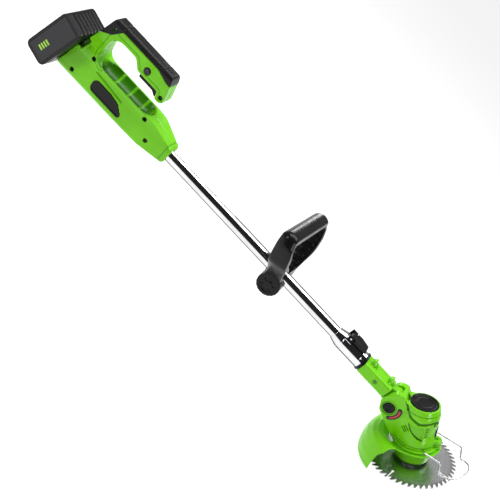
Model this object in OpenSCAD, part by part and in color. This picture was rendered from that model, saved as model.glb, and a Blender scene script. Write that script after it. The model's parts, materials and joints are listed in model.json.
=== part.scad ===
// Cordless lawn edger: a telescoping shaft with a saw blade head at its front end and a
// D-handle with a slide-on battery at its rear end.
// Frame: +X runs forward along the shaft, +Y is the operator's left, +Z is up.
// The origin is the middle of the rear grip. Modules are drawn about the shaft's own axis
// and then moved by shaft_frame(), or about the blade's centre and moved by head_frame().

/* [Rear handle] */
// Height of the grip's middle above the shaft's axis
grip_height = 95; // [90:1:100]
// Half the width of the motor-side body
body_half = 24; // [22:1:26]
// Half the width of the D-handle's grip
grip_half = 14.5; // [13:0.5:15]
// Thickness of the moulded shells
wall = 2.6; // [2:0.1:3]
// Lean of the face that the battery slides on to, in degrees
battery_lean = 16.8; // [10:0.1:20]

/* [Battery] */
// Height of the pack along its mounting face
pack_h = 90; // [84:1:94]
// Thickness of the pack behind its mounting face
pack_t = 44; // [43:1:50]
// How far the pack reaches to the operator's right
pack_right = 47; // [44:1:50]
// How far the pack reaches to the operator's left
pack_left = 28; // [27:1:34]

/* [Shaft] */
// Outer diameter of the main tube
tube_d = 22; // [22:0.5:23]
// Outer diameter of the telescoping inner tube
inner_tube_d = 19; // [17:0.5:19]
// Wall of both tubes
tube_wall = 1.2; // [1:0.1:1.2]
// Outer diameter of the lock sleeve
sleeve_d = 32; // [31:1:34]

/* [Front handle] */
// Outer width of the loop
loop_w = 146; // [138:2:152]
// Height of the loop's top above the shaft's axis
loop_top = 101; // [97:1:105]
// Length of the loop's band along the shaft
band_w = 27; // [24:1:30]
// Backward lean of the loop, in degrees
loop_lean = 16; // [0:1:18]
// Turn of the loop about the vertical, right side forward, in degrees
loop_yaw = 8; // [0:1:10]

/* [Head] */
// Backward lean of the motor's axis from square to the shaft, in degrees
head_lean = 35.4; // [33:0.1:38]
// Diameter of the saw blade over its teeth
blade_d = 150; // [140:1:152]
// Number of teeth on the blade
teeth = 48; // [24:2:60]
// Thickness of the blade's plate
blade_t = 1.8; // [1.4:0.1:2.2]
// Radius of the guard's skirt
guard_r = 87; // [84:1:90]

/* [Hidden] */
$fn = 64;

// Colours
GREEN = "yellowgreen";
BLACK = "#202022";
GREY = "#6e6e72";
STEEL = "silver";
DARK_GREEN = "#2f6a10";

// Clearances
gap = 0.3;
fit = 0.05;

// Stations along the shaft, from the rear end of the handle
grip_x = 118;
body_front = 247;
tube_rear = 70;
tube_front = 640;
clamp_x = 503;
sleeve_x = 634;
sleeve_end = 696;
neck_x = 701;
neck_end = 760;
pivot = [780.4, -12.7];

// Places in the head's frame: x forward along the blade's plane, z up the motor's axis
head_pivot = [-50.8, 91.4];
// The blade's centre beside the shaft, set by the pivot and the lean
blade_at = [
    pivot[0] - head_pivot[0] * cos(head_lean) + head_pivot[1] * sin(head_lean),
    pivot[1] - head_pivot[0] * sin(head_lean) - head_pivot[1] * cos(head_lean)
];
ear_r = 16.5;
ear_half = 19;
tongue_half = 8;
cap_z = 110;
flange_z = 35;

module shaft_frame() translate([-grip_x, 0, -grip_height]) children();

module head_frame()
    shaft_frame() translate([blade_at[0], 0, blade_at[1]]) rotate([0, -head_lean, 0]) children();

module battery_frame()
    shaft_frame() translate([25.5, 0, 12]) rotate([0, battery_lean, 0]) children();

// Stands a side-view outline (forward, up) on edge, centred across the tool
module side_plate(points, half) rotate([90, 0, 0]) linear_extrude(2 * half, center = true) polygon(points);

// Runs a cross-section (left, up) forward between two stations
module along_shaft(points, from, to)
    translate([from, 0, 0]) rotate([90, 0, 90]) linear_extrude(to - from) polygon(points);

module across(d, length) rotate([90, 0, 0]) cylinder(d = d, h = length, center = true);

module forward_rod(d, from, to) translate([from, 0, 0]) rotate([0, 90, 0]) cylinder(d = d, h = to - from);

// Everything on one side of the middle plane: side is -1 for right, 1 for left
module half_space(side) translate([0, side * 500, 0]) cube([2600, 1000, 1000], center = true);

function unit(v) = v / norm(v);
function turn_left(v) = [-v[1], v[0]];

// Rounds the corners of an outline whose points are [x, y, radius], counter-clockwise or clockwise
function arc_corner(a, b, c, r, steps) =
    let(
        u = unit([a[0] - b[0], a[1] - b[1]]),
        v = unit([c[0] - b[0], c[1] - b[1]]),
        half = acos(u * v) / 2,
        back = r / tan(half),
        centre = [b[0], b[1]] + unit(u + v) * r / sin(half),
        p = [b[0], b[1]] + u * back - centre,
        q = [b[0], b[1]] + v * back - centre,
        sweep = 180 - 2 * half,
        way = sign(p[0] * q[1] - p[1] * q[0])
    )
    [for (i = [0:steps]) let(t = way * sweep * i / steps)
        centre + [p[0] * cos(t) - p[1] * sin(t), p[0] * sin(t) + p[1] * cos(t)]];

function rounded(points, steps = 5) =
    let(n = len(points))
    [for (i = [0:n - 1])
        let(a = points[(i + n - 1) % n], b = points[i], c = points[(i + 1) % n])
        each (b[2] > 0 ? arc_corner(a, b, c, b[2], steps) : [[b[0], b[1]]])];

// Moves a counter-clockwise outline inward by d, keeping each corner's radius sensible
function inset(points, d) =
    let(n = len(points))
    [for (i = [0:n - 1])
        let(
            a = points[(i + n - 1) % n], b = points[i], c = points[(i + 1) % n],
            u = unit([b[0] - a[0], b[1] - a[1]]),
            v = unit([c[0] - b[0], c[1] - b[1]]),
            m = unit(turn_left(u) + turn_left(v)),
            reach = d / (m * turn_left(u)),
            convex = u[0] * v[1] - u[1] * v[0] > 0,
            r = b[2] > 0 ? max(0.5, b[2] + (convex ? -d : d)) : 0
        )
        [b[0] + m[0] * reach, b[1] + m[1] * reach, r]];

// ---------------------------------------------------------------- rear handle

// Side view of the body and its open D-handle
handle_side = [
    [14.6, -25, 5], [120, -24, 60], [190, -18.5, 50], [body_front, -13.5, 6], [body_front, 14, 6], [200, 30.5, 50],
    [64, 31, 15], [64, 83, 22], [112, 83, 12], [125, 69.5, 6], [168, 69.5, 3], [171, 58, 4],
    [188, 58, 6], [179, 94, 6], [174.5, 106, 8], [53, 106, 7], [37, 50, 6]
];

// Cross-section of the same, wide round the tube and slim at the grip
handle_section = [
    [0, -25.5, 0], [15, -25, 8], [body_half, -17, 9], [body_half, 36, 14], [grip_half, 62, 14],
    [grip_half, 106, 8], [-grip_half, 106, 8], [-grip_half, 62, 14], [-body_half, 36, 14],
    [-body_half, -17, 9], [-15, -25, 8]
];

// Plan view, which tapers to the tube at the front
handle_plan = [
    [10, -body_half, 0], [192, -body_half, 60], [body_front, -14.5, 6],
    [body_front, 14.5, 6], [192, body_half, 60], [10, body_half, 0]
];

// Side view of the soft cover on top of the grip
cover_side = [
    [36, 66, 0], [60, 79, 2], [74, 97, 4], [150, 97, 8], [172, 90.5, 4], [184, 90.5, 0],
    [184, 112, 0], [36, 112, 0]
];

cover_t = 2.4;
trough_floor = 17;

module handle_form(t) {
    intersection() {
        side_plate(rounded(inset(handle_side, t)), 60);
        along_shaft(rounded(inset(handle_section, t)), 0, 300);
        linear_extrude(260, center = true) polygon(rounded(inset(handle_plan, t)));
    }
}

// The hollow for the fingers in the top of the body, a round trough between the two edges
trough_r = 23;
trough_x = 69;
trough_run = 73;

module finger_trough() {
    translate([trough_x + trough_r, 0, trough_floor + trough_r]) rotate([0, 90, 0]) rotate_extrude()
        polygon(concat(
            [for (t = [0:15:90]) trough_r * [sin(t), -cos(t)]],
            [for (t = [0:15:90]) trough_r * [cos(t), sin(t)] + [0, trough_run]]
        ));
}

// Low ribs across the trough's floor
module trough_ribs() {
    rib_t = 2;
    for (x = [105, 133, 161])
        intersection() {
            translate([x, 0, 0]) cube([rib_t, 2 * body_half - 8, 60], center = true);
            translate([60, 0, trough_floor + trough_r]) rotate([0, 90, 0])
                difference() {
                    cylinder(r = 24, h = 120);
                    translate([0, 0, -1]) cylinder(r = 21.6, h = 122);
                }
            translate([x, 0, trough_floor + 5]) cube([10, 60, 14], center = true);
        }
}

trigger_slot = [[127, 57], [171, 57], [171, 82], [127, 82]];
button_at = [138.3, 82];
button_d = 9;
boss_d = 21;
screw_at = [[63.5, 32], [45, -9], [183, 24]];
tube_screw = [205, -2];
nose_screw = [179, 66];
cover_screw = [60, 90];
screw_d = 4;

// Black pads let into both sides, tapering forward (forward, up)
inlay_side = [
    [150, -10.5, 5], [150, -3, 5], [136, 8, 12], [120, 11, 14], [84, 11, 8], [84, -10.5, 8]
];
inlay_t = 2.4;

module inlay_plate(side, grow, t)
    translate([0, side * (body_half - inlay_t / 2), 0])
        side_plate(rounded(inset(inlay_side, -grow)), t / 2);

module handle_shell(side) {
    color(GREEN)
    shaft_frame()
    intersection() {
        half_space(side);
        difference() {
            union() {
                difference() {
                    handle_form(0);
                    side_plate(rounded(cover_side), 40);
                }
                intersection() {
                    handle_form(cover_t);
                    side_plate(rounded(cover_side), 40);
                }
                translate([button_at[0], 0, button_at[1]]) across(boss_d, 2 * grip_half + 2);
            }
            difference() {
                handle_form(cover_t + wall);
                // webs that carry the tube, the grip's core and the pin
                for (x = [84, 150, 218]) translate([x, 0, 0]) cube([3, 60, 58], center = true);
                translate([0, 0, trough_floor - 3]) cube([600, 60, 4], center = true);
                finger_wall();
                for (p = concat(screw_at, [tube_screw, nose_screw, cover_screw]))
                    translate([p[0], 0, p[1]]) across(8, 60);
            }
            finger_trough();
            forward_rod(tube_d + 2 * fit, tube_rear, body_front + 5);
            side_plate(trigger_slot, 6);
            translate([button_at[0], 0, button_at[1]]) across(button_d + 2 * gap + 2.4, 60);
            for (p = concat(screw_at, [tube_screw, nose_screw, cover_screw]))
                translate([p[0], 0, p[1]]) across(screw_d, 60);
            for (s = [-1, 1]) inlay_plate(s, 0.05, inlay_t + gap);
            thumb_notch();
            translate([trigger_hinge[0], 0, trigger_hinge[1]]) across(pin_d, pin_len);
            // window for the battery's rail
            translate([25.5, 0, 12]) rotate([0, battery_lean, 0]) translate([4, 0, 0])
                cube([20, 30, 50], center = true);
        }
    }
}

// Keeps the wall under the finger trough solid
module finger_wall() {
    translate([63, 0, trough_floor + trough_r]) rotate([0, 90, 0]) cylinder(r = trough_r + wall, h = 119);
}

module thumb_notch() {
    translate([33, -body_half, 41]) rotate([0, battery_lean, 0]) cube([16, 14, 20], center = true);
}

module trough_rib_set() shaft_frame() intersection() {
    trough_ribs();
    handle_form(1);
}

module handle_shell_right() {
    handle_shell(-1);
    color(GREEN) intersection() {
        trough_rib_set();
        half_space(-1);
    }
}

module handle_shell_left() {
    handle_shell(1);
    color(GREEN) intersection() {
        trough_rib_set();
        half_space(1);
    }
}

module grip_cover() {
    color(BLACK)
    shaft_frame()
    difference() {
        intersection() {
            handle_form(0);
            side_plate(rounded(cover_side), 40);
        }
        handle_form(cover_t);
        translate([button_at[0], 0, button_at[1]]) across(boss_d, 60);
        translate([cover_screw[0], 0, cover_screw[1]]) across(screw_d + 3, 60);
    }
}

module side_inlay(side) {
    color(BLACK)
    shaft_frame()
    inlay_plate(side, 0, inlay_t);
}

module cross_screw(length) {
    across(screw_d - 0.2, length);
}

module shell_screws() {
    color(STEEL)
    shaft_frame() {
        for (p = screw_at) translate([p[0], -2, p[1]]) cross_screw(34);
        for (p = [nose_screw, cover_screw]) translate([p[0], -1, p[1]]) cross_screw(20);
        // the pair beside the tube stop short of it
        for (s = [-1, 1]) translate([tube_screw[0], s * (tube_d / 2 + 4.3), tube_screw[1]])
            cross_screw(7.6);
    }
}

module lock_button_ring() {
    color(BLACK)
    shaft_frame()
    translate([button_at[0], -(grip_half + 0.4), button_at[1]]) rotate([90, 0, 0])
        difference() {
            cylinder(d = button_d + 2 * gap + 2.2, h = 2.4, center = true);
            cylinder(d = button_d + 2 * gap, h = 5, center = true);
        }
}

module lock_button() {
    color(STEEL)
    shaft_frame()
    translate([button_at[0], -(grip_half - 4.5), button_at[1]]) across(button_d, 14);
}

trigger_hinge = [165.5, 74];
pin_d = 3;
pin_len = 2 * (grip_half - 2);
trigger_side = [
    [128, 60, 2.5], [159, 60, 8], [167, 54.5, 2], [170.4, 58, 2], [169.2, 66.5, 0.5],
    [169, 77, 2], [160, 78, 2], [148, 72, 2], [131, 68.2, 2]
];

module trigger() {
    color(BLACK)
    shaft_frame()
    difference() {
        side_plate(rounded(trigger_side), 5.5);
        translate([trigger_hinge[0], 0, trigger_hinge[1]]) across(pin_d + 2 * fit, 20);
    }
}

module trigger_pin() {
    color(STEEL)
    shaft_frame()
    translate([trigger_hinge[0], 0, trigger_hinge[1]]) across(pin_d, pin_len);
}

module trigger_spring() {
    color(STEEL)
    shaft_frame()
    translate([156, 0, 80.2])
        for (i = [0:2]) translate([0, 0, i * 1.1])
            rotate_extrude() translate([2.6, 0]) circle(d = 0.8, $fn = 16);
}

module main_switch() {
    color(GREY)
    shaft_frame()
    difference() {
        translate([146, 0, 88.5]) cube([26, 15, 9], center = true);
        translate([button_at[0], 0, button_at[1]]) across(boss_d, 60);
    }
}

module control_board() {
    color(DARK_GREEN)
    shaft_frame() {
        translate([56, 0, 0]) cube([1.6, 30, 19], center = true);
        for (y = [-9, 9]) translate([50, y, 5]) rotate([0, 90, 0]) cylinder(d = 8, h = 5.2);
    }
}

rail_x = 6;
blade_z = [-10, 0, 10];

module battery_rail() {
    color(BLACK)
    battery_frame()
    difference() {
        union() {
            translate([-rail_x / 2, 0, 0]) cube([rail_x, 44, 30], center = true);
            translate([-rail_x + 1.25, 0, 0]) cube([2.5, 44, 40], center = true);
            translate([4.95, 0, 0]) cube([10, 29.8, 49.8], center = true);
        }
        for (z = blade_z) translate([-3, 0, z]) cube([8, 30, 1.2], center = true);
    }
}

module battery_terminals() {
    color("goldenrod")
    battery_frame()
    for (z = blade_z) translate([-6, 0, z]) cube([10, 20, 1], center = true);
}

module handle_wiring() {
    color("firebrick")
    shaft_frame() {
        translate([58, 0, 0]) rotate([0, 90, 0]) for (y = [-3, 3]) translate([0, y, 0])
            cylinder(d = 2.4, h = 270);
    }
}

// ---------------------------------------------------------------- battery

// End view of the pack about its mounting face (forward, up); the case hangs a chin lower
chin = 2.5;
bezel_side = [
    [-gap, -pack_h / 2 - 3, 9], [-gap, pack_h / 2 - 1, 6],
    [-pack_t, pack_h / 2 - 1, 7], [-pack_t, -pack_h / 2 - 3, 9]
];
pack_side = [
    [-gap, -pack_h / 2 - 3 - chin, 12], [-gap, pack_h / 2 - 1, 6],
    [-pack_t, pack_h / 2 - 1, 7], [-pack_t - 1, -pack_h / 2 - 3 - chin, 12]
];
bezel_t = 7;

module pack_prism(points, from, to)
    translate([0, (from + to) / 2, 0]) side_plate(points, (to - from) / 2);

module rail_channel(open_to) {
    translate([0, (open_to - 23) / 2, 0]) {
        cube([2 * rail_x + 0.6, open_to + 23, 30.8], center = true);
        translate([-rail_x + 1.2, 0, 0]) cube([3.6, open_to + 23, 40.8], center = true);
    }
}

module pack_ribs() {
    for (y = [-26 : 9 : 20]) translate([-pack_t / 2, y, pack_h / 2 - 1]) cube([60, 3, 1.6], center = true);
}

latch_y = -25.2;
latch_z = 32;

module battery_case() {
    color(BLACK)
    battery_frame()
    difference() {
        pack_prism(rounded(pack_side), bezel_t - pack_right, pack_left);
        difference() {
            pack_prism(rounded(inset(pack_side, 2)), bezel_t - pack_right + 1.5, pack_left - 2);
            translate([-4, 0, 0]) cube([8.3, 100, 46], center = true);
            translate([-5.5, latch_y, latch_z]) cube([11, 17, 13], center = true);
        }
        rail_channel(40);
        pack_ribs();
        for (z = blade_z) translate([-9, 14.5, z]) cube([6, 51, 1.8], center = true);
        translate([-4, latch_y, latch_z]) cube([9, 12.6, 8.6], center = true);
    }
}

module battery_bezel() {
    color(GREY)
    battery_frame()
    difference() {
        pack_prism(rounded(bezel_side), -pack_right, bezel_t - pack_right);
        pack_prism(rounded(inset(bezel_side, 7)), -pack_right - 1, -pack_right + 1.2);
        pack_prism(rounded(inset(bezel_side, 2)), -pack_right + 3.2, 0);
    }
}

module battery_label() {
    color("#8c8c92")
    battery_frame()
    pack_prism(rounded(inset(bezel_side, 7.1)), -pack_right + 0.4, -pack_right + 1.2);
}

cell_d = 18;
cell_len = 60;
cell_low = -30;
cell_step = 19;

module battery_cells() {
    color("steelblue")
    battery_frame()
    translate([-pack_t + 2.2 + cell_d / 2, -6.5, 0]) {
        for (i = [0:3]) translate([0, 0, cell_low + i * cell_step]) across(cell_d, cell_len);
        translate([15.6, 0, cell_low + cell_step / 2]) across(cell_d, cell_len);
    }
}

module battery_contacts() {
    color("goldenrod")
    battery_frame()
    for (z = blade_z)
        translate([-8.7, 0, z]) difference() {
            cube([0.9, 30, 6], center = true);
            cube([6, 40, 1.7], center = true);
        }
}

module battery_latch() {
    color(BLACK)
    battery_frame()
    translate([-1.6, latch_y, latch_z]) cube([4, 12, 8], center = true);
}

// ---------------------------------------------------------------- shaft

module main_tube() {
    color(STEEL)
    shaft_frame()
    difference() {
        forward_rod(tube_d, tube_rear, tube_front);
        forward_rod(tube_d - 2 * tube_wall, tube_rear - 1, tube_front + 1);
    }
}

module inner_tube() {
    color(STEEL)
    shaft_frame()
    difference() {
        forward_rod(inner_tube_d, 345, 745);
        forward_rod(inner_tube_d - 2 * tube_wall, 344, 746);
    }
}

lever_hinge = [656, 19.5];

module lock_sleeve() {
    color(STEEL)
    shaft_frame()
    difference() {
        union() {
            translate([sleeve_x, 0, 0]) rotate([0, 90, 0])
                rotate_extrude() polygon([
                    [0, 0], [tube_d / 2 + 1, 0], [tube_d / 2 + 2.2, 4], [sleeve_d / 2, 14],
                    [sleeve_d / 2, sleeve_end - sleeve_x], [0, sleeve_end - sleeve_x]
                ]);
            for (y = [-9.5, 9.5]) translate([lever_hinge[0], y, 17.5]) cube([11, 4, 11], center = true);
        }
        forward_rod(tube_d, sleeve_x - 1, tube_front);
        forward_rod(inner_tube_d + 2 * gap, tube_front - 1, sleeve_end + 1);
        translate([lever_hinge[0], 0, lever_hinge[1]]) across(3, 40);
    }
}

module sleeve_ring() {
    color(BLACK)
    shaft_frame()
    difference() {
        forward_rod(sleeve_d + 3, sleeve_end, sleeve_end + 4);
        forward_rod(inner_tube_d + 2 * gap, sleeve_end - 1, sleeve_end + 5);
    }
}

module lever_pin() {
    color(STEEL)
    shaft_frame() translate([lever_hinge[0], 0, lever_hinge[1]]) across(3, 24);
}

lever_side = [
    [653.6, 17, 1.8], [660, 16.8, 1], [688, 17.2, 1.5], [689.5, 20.2, 1.5],
    [672, 23.4, 8], [656.5, 23, 4], [652.4, 20.3, 1.5]
];

module lock_lever() {
    color(BLACK)
    shaft_frame()
    difference() {
        union() {
            intersection() {
                side_plate(rounded(lever_side), 7.2);
                translate([640, 0, 0]) cube([100, 40, 80], center = true);
            }
            intersection() {
                side_plate(rounded(lever_side), 10.5);
                translate([663, -20, 0]) cube([60, 40, 60]);
            }
        }
        translate([lever_hinge[0], 0, lever_hinge[1]]) across(3.1, 40);
    }
}

neck_half = 16;
pivot_d = 8;
knuckle_r = 28.5;
knuckle_back = 22;
clip_at = [714, 753];

module clip() {
    translate([0, 0, 11])
    difference() {
        translate([0, 0, 4.5]) across(13, 9);
        translate([0, 0, 4.5]) across(6.4, 20);
        translate([4, 0, 9.5]) cube([8, 20, 6], center = true);
        translate([0, 0, -5]) cube([20, 20, 10], center = true);
    }
}

module neck() {
    color(GREEN)
    shaft_frame()
    difference() {
        union() {
            along_shaft(rounded([
                [neck_half, -12, 4], [neck_half, 11, 4], [-neck_half, 11, 4], [-neck_half, -12, 4]
            ]), neck_x, neck_end);
            side_plate(rounded([
                [neck_end - 5, -12, 0], [pivot[0], pivot[1] - 14.5, 12], [pivot[0] + 14.5, pivot[1], 12],
                [pivot[0] + 8, 13.5, 5], [neck_end - 5, 11, 0]
            ]), tongue_half - gap);
            // knuckle that fills the gap between the head's ears
            intersection() {
                translate([pivot[0], 0, pivot[1]]) across(2 * knuckle_r, 2 * (tongue_half - gap));
                translate([pivot[0] - knuckle_back, -50, pivot[1]]) cube(100);
            }
            for (x = clip_at) translate([x, 0, 0]) clip();
        }
        forward_rod(inner_tube_d, neck_x - 1, 745.5);
        forward_rod(8, 740, 772);
        translate([pivot[0], 0, pivot[1]]) across(pivot_d + 2 * fit, 40);
        translate([733, 0, 0]) across(3.6, 60);
    }
}

module neck_screws() {
    color(STEEL)
    shaft_frame()
    for (s = [-1, 1]) translate([733, s * 12.7, 0]) across(3.4, 6);
}

// ---------------------------------------------------------------- head

// Side view of the head's body about the blade's centre (forward, up the motor's axis)
head_side = [
    [-66, 84, 10], [-37, 38, 6], [10, 38, 0], [10, cap_z, 0],
    [-25.5, cap_z, 1.5], [-30, 120, 6], [-44, 122, 8], [-66, 105, 12]
];

barrel = [[0, 38], [33, 38], [32, 50], [29, 62], [30, 84], [29.5, 96], [26, cap_z], [0, cap_z]];

module head_form(t) {
    intersection() {
        union() {
            side_plate(rounded(inset(head_side, t)), ear_half - t);
            rotate_extrude() polygon([for (p = barrel) [max(0, p[0] - t), p[1] > 100 ? p[1] - t : p[1]]]);
            intersection() {
                side_plate(rounded(inset(head_side, t)), 30);
                translate([0, 0, 20]) cylinder(r1 = 60 - t, r2 = 24 - t, h = 90);
                translate([-14, 0, 0]) cylinder(r = 26 - t, h = 100);
            }
        }
        translate([0, 0, 38]) cylinder(r = 90, h = 100);
    }
}

// Reach of the pivot pin either side of the middle; the tilt button's bore starts at its right end
pin_left = 15;
pin_right = 10.6;
tilt_button_d = 19.6;

module at_head_pivot() translate([head_pivot[0], 0, head_pivot[1]]) children();

motor_d = 42;
cap_d = 46;
motor_z = 50;
motor_top = 106;
// The front screw's bore shows on both sides, and the rear one opens on the left only
front_screw_at = [27, 86];
rear_screw_at = [-30, 52];
lobe_x = 33;
lobe_d = 20;

module head_shell(side) {
    color(GREEN)
    head_frame()
    intersection() {
        half_space(side);
        difference() {
            union() {
                head_form(0);
                translate([lobe_x, 0, flange_z + 3.2]) cylinder(d = 18, h = 12);
            }
            // motor bay, coupling bay and bearing seats
            translate([0, 0, motor_z - 0.1]) cylinder(d = motor_d + 2 * fit, h = motor_top - motor_z + 0.2);
            translate([0, 0, motor_top]) cylinder(d = 34, h = 10);
            translate([0, 0, 37]) cylinder(d = 22, h = 20);
            translate([0, 0, cap_z - 2.6]) cylinder(d = cap_d + 2 * fit, h = 5);
            translate([0, 0, 44]) cylinder(d = 36, h = motor_z - 44 + 0.2);
            // slot for the neck's tongue, and room for its corners as the head tilts
            at_head_pivot() {
                rotate([90, 0, 0]) cylinder(r = ear_r + 16, h = 2 * tongue_half, center = true);
                translate([0, (pin_left - pin_right) / 2, 0]) across(pivot_d, pin_left + pin_right);
                translate([0, -pin_right - 10, 0]) across(tilt_button_d + 2 * gap, 20);
            }
            translate([front_screw_at[0], 0, front_screw_at[1]]) across(3.6, 80);
            translate([rear_screw_at[0], 14, rear_screw_at[1]]) across(3.6, 54);
            translate([lobe_x, 0, 30]) cylinder(d = 4.2, h = 30);
            // gauge pocket on the right side
            translate([head_pivot[0], -ear_half, head_pivot[1]]) rotate([90, 0, 0])
                gauge_ring(0.05, 2.6);
            // front window
            translate([30, 0, 61]) cube([8, 14, 20], center = true);
            vent_slots();
        }
    }
}

module vent_slots() {
    for (i = [0:2])
        translate([-20.5 + i * 2.6, -ear_half - 6.8, 65.4 + i * 2.3]) rotate([0, -38, 0])
            cube([1.5, 16, 12.5], center = true);
}

// Curved slot that follows the pivot, as a ring sector
module gauge_ring(grow, t) {
    linear_extrude(t, center = true) difference() {
        circle(r = 21.4 + grow);
        circle(r = 15 - grow);
        polygon([[0, 0], [60, 12 + grow * 4], [60, 60], [-60, 60], [-60, -60], [2 - grow * 4, -60]]);
    }
}

module head_screws() {
    color(STEEL)
    head_frame() {
        translate([front_screw_at[0], 0, front_screw_at[1]]) across(3.4, 14);
        translate([rear_screw_at[0], 2.2, rear_screw_at[1]]) across(3.4, 30);
    }
}

module pivot_pin() {
    color(STEEL)
    head_frame() at_head_pivot()
        translate([0, (pin_left - pin_right) / 2, 0]) across(pivot_d, pin_left + pin_right);
}

module tilt_button() {
    color(BLACK)
    head_frame() at_head_pivot() translate([0, -(ear_half - 2), 0]) across(tilt_button_d, 6);
}

module motor() {
    color(GREY)
    head_frame()
    difference() {
        union() {
            translate([0, 0, motor_z]) cylinder(d = motor_d, h = motor_top - motor_z);
            translate([0, 0, motor_z - 4]) cylinder(d = 16, h = 4.1);
        }
        translate([0, 0, motor_z - 5]) cylinder(d = 5.6, h = 50);
        translate([0, 0, motor_top - 18]) cylinder(d = 30, h = 30);
    }
}

module motor_cap() {
    color(BLACK)
    head_frame()
    translate([0, 0, cap_z - 2.5]) cylinder(d = cap_d, h = 3.5);
}

spindle_d = 10;

module bearing(z) {
    translate([0, 0, z]) difference() {
        cylinder(d = 22, h = 4.5);
        translate([0, 0, -1]) cylinder(d = spindle_d + 2 * fit, h = 7);
    }
}

module bearings() {
    color(STEEL)
    head_frame() {
        bearing(37.1);
        bearing(25);
    }
}

module front_insert() {
    color(GREY)
    head_frame()
    translate([28.5, 0, 61]) cube([4.6, 13.8, 19.8], center = true);
}

module tilt_gauge() {
    color("crimson")
    head_frame()
    translate([head_pivot[0], -ear_half + 0.3, head_pivot[1]]) rotate([90, 0, 0]) gauge_ring(0, 1.9);
}

// The wire guard's hinge, across the ring, and the lugs that carry it
wire_hinge = [21, 40.6];
wire_d = 2.6;
lug_y = 29.4;
lug_t = 3;
lug_d = 5.2;

// Ring that the head's shells stand on
module base_flange() {
    color(GREEN)
    head_frame()
    difference() {
        union() {
            translate([0, 0, flange_z - 1]) cylinder(r = 38, h = 4);
            translate([lobe_x, 0, flange_z - 1]) cylinder(d = lobe_d, h = 4);
            for (s = [-1, 1]) translate([wire_hinge[0], s * lug_y, 0]) {
                translate([0, 0, wire_hinge[1]]) across(lug_d, lug_t);
                translate([0, 0, (flange_z + wire_hinge[1]) / 2])
                    cube([lug_d, lug_t, wire_hinge[1] - flange_z], center = true);
            }
        }
        translate([0, 0, flange_z - 3]) cylinder(d = 22, h = 9);
        translate([wire_hinge[0], 0, wire_hinge[1]]) across(wire_d + 2 * fit, 80);
        translate([lobe_x, 0, 30]) cylinder(d = 4.2, h = 30);
        for (a = guard_screw_turns) rotate(a) translate([30, 0, 0]) cylinder(d = 4, h = 60);
    }
}

guard_screw_turns = [75, 150, 210, 285];

guard_profile = [
    [12, 31], [41, 31], [47, 35], [54, 40], [61, 41], [68, 38], [76, 29.5], [guard_r - 4.5, 16],
    [guard_r - 2, 2], [guard_r - 2, -4], [guard_r, -4], [guard_r, 3], [guard_r - 2.5, 17], [78.5, 31],
    [70, 40.4], [61.5, 43.6], [53, 42.6], [45, 37], [40, 34], [12, 34]
];

// Side view of what the guard keeps: the hood behind, the plate in front
guard_keep = rounded([
    [-100, -6, 0], [-58, -6, 2], [-57, 1, 10], [-52.5, 17, 20], [-46.5, 30, 12],
    [-37, 37, 4], [-30, 30.5, 3], [60, 30.5, 0], [60, 60, 0], [-100, 60, 0]
], 3);

// Plan view of the same: the hood sweeps in at both sides to meet the round plate
guard_plan = rounded([
    [-110, -74, 0], [-54, -74, 0], [-40, -63, 12], [-29, -53, 12], [-20, -46.5, 12], [-6, -42, 0],
    [-6, 42, 0], [-20, 46.5, 12], [-29, 53, 12], [-40, 63, 12], [-54, 74, 0], [-110, 74, 0]
], 3);

module blade_guard() {
    color(GREEN)
    head_frame()
    difference() {
        union() {
            intersection() {
                rotate_extrude($fn = 96) polygon(guard_profile);
                side_plate(guard_keep, 100);
                union() {
                    cylinder(r = 43.5, h = 60);
                    translate([0, 0, -20]) linear_extrude(80) polygon(guard_plan);
                }
            }
            translate([0, 0, 6.5]) cylinder(r = 30, h = 25);
            translate([lobe_x, 0, 31]) cylinder(d = 22, h = 3);
        }
        translate([0, 0, 25]) cylinder(d = 22, h = 60);
        cylinder(r = 27.5, h = 22);
        translate([0, 0, 10]) cylinder(r = 9, h = 60);
        translate([lobe_x, 0, 20]) cylinder(d = 4.2, h = 30);
        translate([lobe_x, 0, flange_z - 1]) cylinder(d = lobe_d + 2 * gap, h = 10);
        for (a = guard_screw_turns) rotate(a) translate([30, 0, 29]) cylinder(d = 4, h = 31);
    }
}

module guard_screws() {
    color(STEEL)
    head_frame()
    for (a = guard_screw_turns) rotate(a) translate([30, 0, 29.5]) cylinder(d = 3.8, h = 8);
}

module motor_shaft() {
    color(STEEL)
    head_frame() translate([0, 0, 44]) cylinder(d = 5, h = 50);
}

module cooling_fan() {
    color(BLACK)
    head_frame() translate([0, 0, motor_top - 12]) difference() {
        union() {
            cylinder(d = 12, h = 8);
            for (i = [0:8]) rotate(i * 40) translate([9, 0, 4]) rotate([30, 0, 0])
                cube([10, 1, 7], center = true);
        }
        translate([0, 0, -1]) cylinder(d = 5, h = 10);
    }
}

module shaft_coupling() {
    color(STEEL)
    head_frame() translate([0, 0, 42]) difference() {
        cylinder(d = 12, h = 3.6);
        translate([0, 0, 2]) cylinder(d = 5, h = 3);
    }
}

module spindle() {
    color(STEEL)
    head_frame() {
        translate([0, 0, 3]) cylinder(d = spindle_d, h = 39);
        translate([0, 0, -14]) cylinder(d = 8, h = 17.1);
    }
}

module upper_flange() {
    color(STEEL)
    head_frame() translate([0, 0, blade_t / 2]) difference() {
        cylinder(d = 40, h = 4);
        translate([0, 0, 2.1]) cylinder(d = 10, h = 3);
        translate([0, 0, -1]) cylinder(d = 8, h = 4);
    }
}

module lower_flange() {
    color(STEEL)
    head_frame() translate([0, 0, -blade_t / 2 - 3]) difference() {
        cylinder(d = 36, h = 3);
        translate([0, 0, -1]) cylinder(d = 8, h = 5);
    }
}

module blade_nut() {
    color(STEEL)
    head_frame() translate([0, 0, -blade_t / 2 - 9.5]) difference() {
        cylinder(d = 14, h = 6.5, $fn = 6);
        translate([0, 0, -1]) cylinder(d = 8, h = 9);
    }
}

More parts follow.
